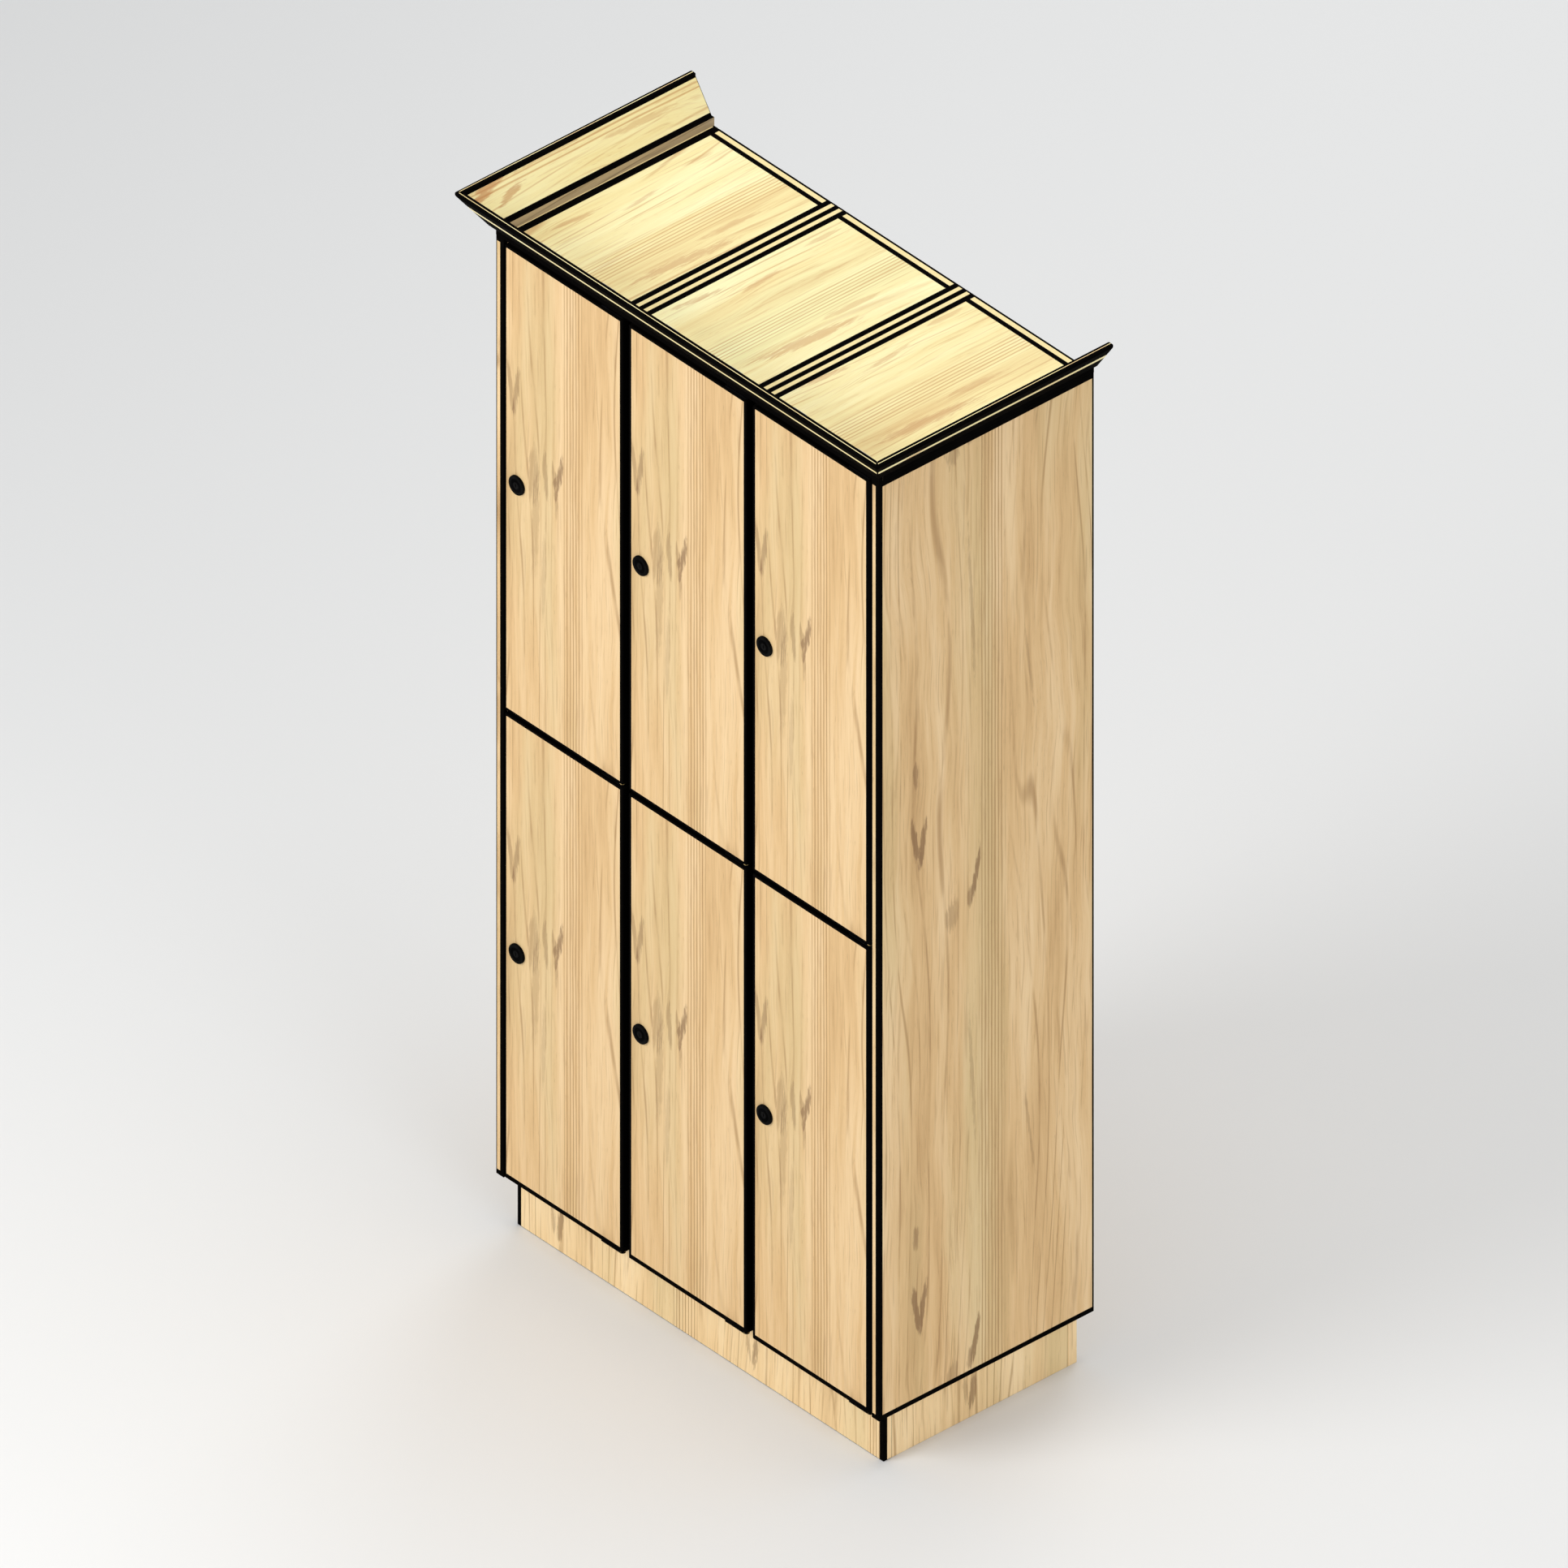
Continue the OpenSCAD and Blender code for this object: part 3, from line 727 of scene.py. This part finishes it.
for key in DOORS:
    finish_node("lock_barrel_" + key, LOCK_BLACK, 0.3 * MM)
    finish_node("lock_plug_" + key, PLUG_BLACK, 0.15 * MM)
    finish_node("lock_cam_" + key, ZINC, 0.3 * MM)
    finish_node("lock_case_" + key, CASE, 0.5 * MM)
    finish_node("coin_slide_" + key, ACETAL, 0.3 * MM)
for name, material in (
        ("hinge_plates", LOCK_BLACK), ("hinge_washers", BRASS), ("strike_plates", ZINC),
        ("column_connectors", ZINC), ("cornice_brackets", ZINC), ("levelling_feet", FOOT)):
    finish_node(name, material, 0.25 * MM)


# ---------------------------------------------------------------- small pieces

def turned(bm, profile, place, steps=24, closed=True):
    """A ring or a cap from (radius, height) points; a radius may be a function of the angle."""
    rings = []
    for radius, height in profile:
        ring = []
        for turn in (math.tau * i / steps for i in range(steps)):
            r = radius(turn) if callable(radius) else radius
            point = Vector((r * math.cos(turn), r * math.sin(turn), height))
            ring.append(bm.verts.new(place @ point))
        rings.append(ring)
    loops = list(zip(rings, rings[1:]))
    if closed:
        bm.faces.new(reversed(rings[0]))
        bm.faces.new(rings[-1])
    else:
        loops.append((rings[-1], rings[0]))
    for lower, upper in loops:
        for i in range(steps):
            j = (i + 1) % steps
            bm.faces.new((lower[i], lower[j], upper[j], upper[i]))


def facing(point, direction):
    """The matrix that stands a turned shape at a point, looking along a direction."""
    turn = Vector(direction).to_track_quat("Z", "Y").to_matrix().to_4x4()
    return Matrix.Translation(point) @ turn


def small_piece(name, node, bm, material):
    """A finished small piece that rides with a CAD node."""
    mesh = bpy.data.meshes.new(name)
    bmesh.ops.recalc_face_normals(bm, faces=bm.faces)
    bm.to_mesh(mesh)
    bm.free()
    mesh.materials.append(material)
    piece = bpy.data.objects.new(name, mesh)
    bpy.context.scene.collection.objects.link(piece)
    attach(piece, BODY_OF[node])
    return piece


def cross_recess(arm, half):
    """The outline of a cross, as a radius for each angle."""
    def radius(turn):
        c, s = abs(math.cos(turn)) + 1e-9, abs(math.sin(turn)) + 1e-9
        return max(min(arm / c, half / s), min(half / c, arm / s))
    return radius


def oblong(half_wide, half_high, power=6.0):
    """The outline of a round-cornered oblong, as a radius for each angle."""
    def radius(turn):
        c, s = abs(math.cos(turn)) / half_wide, abs(math.sin(turn)) / half_high
        return (c ** power + s ** power) ** (-1 / power)
    return radius


def screws(name, node, places, direction, radius, height, material):
    """Domed screw heads with a cross cut into each."""
    bm = bmesh.new()
    cross = cross_recess(0.62 * radius, 0.15 * radius)
    profile = ((radius, 0), (0.98 * radius, 0.4 * height), (0.85 * radius, 0.85 * height),
               (0.70 * radius, height), (cross, height), (cross, 0.35 * height))
    for point in places:
        turned(bm, profile, facing(point, direction))
    small_piece(name, node, bm, material)


def solid_boxes(node):
    """The low and high corners of each separate solid of a node."""
    bm = joined_copy(node)
    boxes = [tuple(Vector(side) for side in box_of(group)) for group in islands(bm)]
    bm.free()
    return sorted(boxes, key=lambda box: tuple(box[0]))


def rosette_ring(key):
    """A knurled bezel round a lock's rosette."""
    node = "lock_barrel_" + key
    low, size = span(node)
    place = facing((low.x + size.x / 2, low.y, low.z + size.z / 2), (0, -1, 0))
    rim = size.x / 2
    door_low, _ = span("door_" + key)
    # The height, from the rosette's face, of the door's face
    back = low.y - door_low.y
    ridges, ridge = 40, 0.22 * MM

    def knurled(base):
        return lambda turn: base + ridge * math.cos(ridges * turn)

    bm = bmesh.new()
    profile = ((rim - 3.4 * MM, -0.3 * MM), (rim - 3.2 * MM, 0.25 * MM), (rim - 2.7 * MM, 0.5 * MM),
               (knurled(rim + 1.2 * MM), 0.5 * MM), (knurled(rim + 1.9 * MM), 0.1 * MM),
               (knurled(rim + 2.2 * MM), back + 0.3 * MM), (rim + 2.0 * MM, back))
    turned(bm, profile, place, steps=4 * ridges, closed=False)
    small_piece("lock_ring_" + key, node, bm, RING_BLACK)


def case_fittings(key):
    """Screws that hold a lock case, and the raised rim round its coin slot."""
    node = "lock_case_" + key
    low, size = span(node)
    high = low + size
    inset = 5.5 * MM
    places = [(x, high.y, z) for x, z in (
        (low.x + inset, low.z + inset), (low.x + inset, high.z - inset),
        (high.x - inset, high.z - inset), (high.x - inset, low.z + 33 * MM))]
    screws("case_screws_" + key, node, places, (0, 1, 0), 3.2 * MM, 1.3 * MM, ZINC)
    slot_centre = Vector((low.x + 46.5 * MM, high.y, low.z + size.z / 2 + 36 * MM))
    bm = bmesh.new()
    profile = ((oblong(4.6 * MM, 17.2 * MM), 0), (oblong(4.1 * MM, 16.7 * MM), 1.2 * MM),
               (oblong(2.2 * MM, 14.8 * MM), 1.2 * MM), (oblong(1.7 * MM, 14.2 * MM), 0))
    turned(bm, profile, facing(slot_centre, (0, 1, 0)), steps=48, closed=False)
    small_piece("coin_slot_rim_" + key, node, bm, ZINC)


# Where the buffers sit, as shares of a door's width
BUFFER_PLACES = (0.15, 0.5)


def door_buffers(key):
    """Two rubber pads between a door and the board behind its outer end."""
    node = "door_" + key
    low, size = span(node)
    upper = key.endswith("upper")
    board_low, board_size = span("top_panels" if upper else "bottom_panels")
    gap = board_low.y - (low.y + size.y)
    height = (board_low.z + 5 * MM) if upper else (board_low.z + board_size.z - 6 * MM)
    bm = bmesh.new()
    profile = ((4.0 * MM, 0), (3.9 * MM, 0.6 * gap), (3.0 * MM, 0.88 * gap), (1.2 * MM, 0.92 * gap))
    for along in BUFFER_PLACES:
        point = (low.x + along * size.x, low.y + size.y, height)
        turned(bm, profile, facing(point, (0, 1, 0)))
    small_piece("door_buffers_" + key, node, bm, FOOT)


for key in DOORS:
    rosette_ring(key)
    case_fittings(key)
    door_buffers(key)


def strike_plate_screws():
    """A screw near each end of each strike plate."""
    inset = 4.5 * MM
    places = []
    for low, high in solid_boxes("strike_plates"):
        middle = (low + high) / 2
        places += [(high.x, middle.y, z) for z in (low.z + inset, high.z - inset)]
    screws("strike_plate_screws", "strike_plates", places, (1, 0, 0), 2.6 * MM, 0.4 * MM, ZINC)


def bracket_screws():
    """Two screws through the foot of each cornice bracket."""
    half_pitch, inset, leg = 8 * MM, 9 * MM, 2 * MM
    places = []
    for low, high in solid_boxes("cornice_brackets"):
        middle = (low + high) / 2
        places += [(middle.x + side * half_pitch, high.y - inset, low.z + leg) for side in (-1, 1)]
    screws("bracket_screws", "cornice_brackets", places, (0, 0, 1), 3.0 * MM, 1.4 * MM, ZINC)


def back_panel_screws():
    """A row of screws up both sides of each back panel, just let into it."""
    rows, inset, end, sunk = 6, 9 * MM, 40 * MM, 0.2 * MM
    places = []
    for low, high in solid_boxes("back_panels"):
        pitch = (high.z - low.z - 2 * end) / (rows - 1)
        places += [(x, high.y - sunk, low.z + end + row * pitch)
                   for row in range(rows) for x in (low.x + inset, high.x - inset)]
    screws("back_panel_screws", "column_connectors", places, (0, 1, 0), 3.0 * MM, 0.5 * MM, ZINC)


strike_plate_screws()
bracket_screws()
back_panel_screws()


# ---------------------------------------------------------------- stage

FLOOR_COLOUR, FLOOR_HALF_WIDTH = (0.80, 0.80, 0.79, 1.0), 30
SKY_COLOUR, SKY_STRENGTH = (0.9, 0.92, 0.95, 1.0), 0.5
# Each light's place and width in metres, and its power in watts
LIGHTS = {
    "key": ((-1.2, -4.6, 3.6), 3.0, 165),
    "fill": ((4.6, -1.0, 2.4), 3.5, 68),
    "top": ((0.3, 0.4, 5.6), 3.0, 66),
    "back": ((-2.5, 4.5, 3.5), 3.5, 70),
}
TARGET = (Vector(cad_box[0]) + Vector(cad_box[1])) / 2
AZIMUTH, ELEVATION = math.radians(48.3), math.radians(35.4)
ORTHO_WIDTH = 2.4507
# How far from its target the camera stands
FAR = 9.0


def floor():
    """A plain pale floor."""
    bm = bmesh.new()
    bmesh.ops.create_grid(bm, x_segments=1, y_segments=1, size=FLOOR_HALF_WIDTH)
    mesh = bpy.data.meshes.new("floor")
    bm.to_mesh(mesh)
    bm.free()
    g = Graph("floor_pale")
    g.set(Base_Color=FLOOR_COLOUR, Roughness=0.8, Specular_IOR_Level=0.1)
    mesh.materials.append(g.material)
    ground = bpy.data.objects.new("floor", mesh)
    bpy.context.scene.collection.objects.link(ground)


def area_light(name, place, size, power):
    """A round soft light that looks at the locker's middle."""
    light = bpy.data.lights.new(name, "AREA")
    light.shape = "DISK"
    light.size = size
    light.energy = power
    holder = bpy.data.objects.new(name, light)
    holder.location = place
    holder.rotation_euler = (TARGET - Vector(place)).to_track_quat("-Z", "Y").to_euler()
    bpy.context.scene.collection.objects.link(holder)


floor()
for name, (place, size, power) in LIGHTS.items():
    area_light(name, place, size, power)

world = bpy.data.worlds.new("studio")
world.use_nodes = True
sky = world.node_tree.nodes["Background"]
sky.inputs["Color"].default_value = SKY_COLOUR
sky.inputs["Strength"].default_value = SKY_STRENGTH
bpy.context.scene.world = world
bpy.context.scene.view_settings.view_transform = "Standard"

camera = bpy.data.cameras.new("camera")
camera.type = "ORTHO"
camera.ortho_scale = ORTHO_WIDTH
level = math.cos(ELEVATION)
toward = Vector((math.sin(AZIMUTH) * level, -math.cos(AZIMUTH) * level, math.sin(ELEVATION)))
eye = bpy.data.objects.new("camera", camera)
eye.location = TARGET + toward * FAR
eye.rotation_euler = toward.to_track_quat("Z", "Y").to_euler()
bpy.context.scene.collection.objects.link(eye)
bpy.context.scene.camera = eye
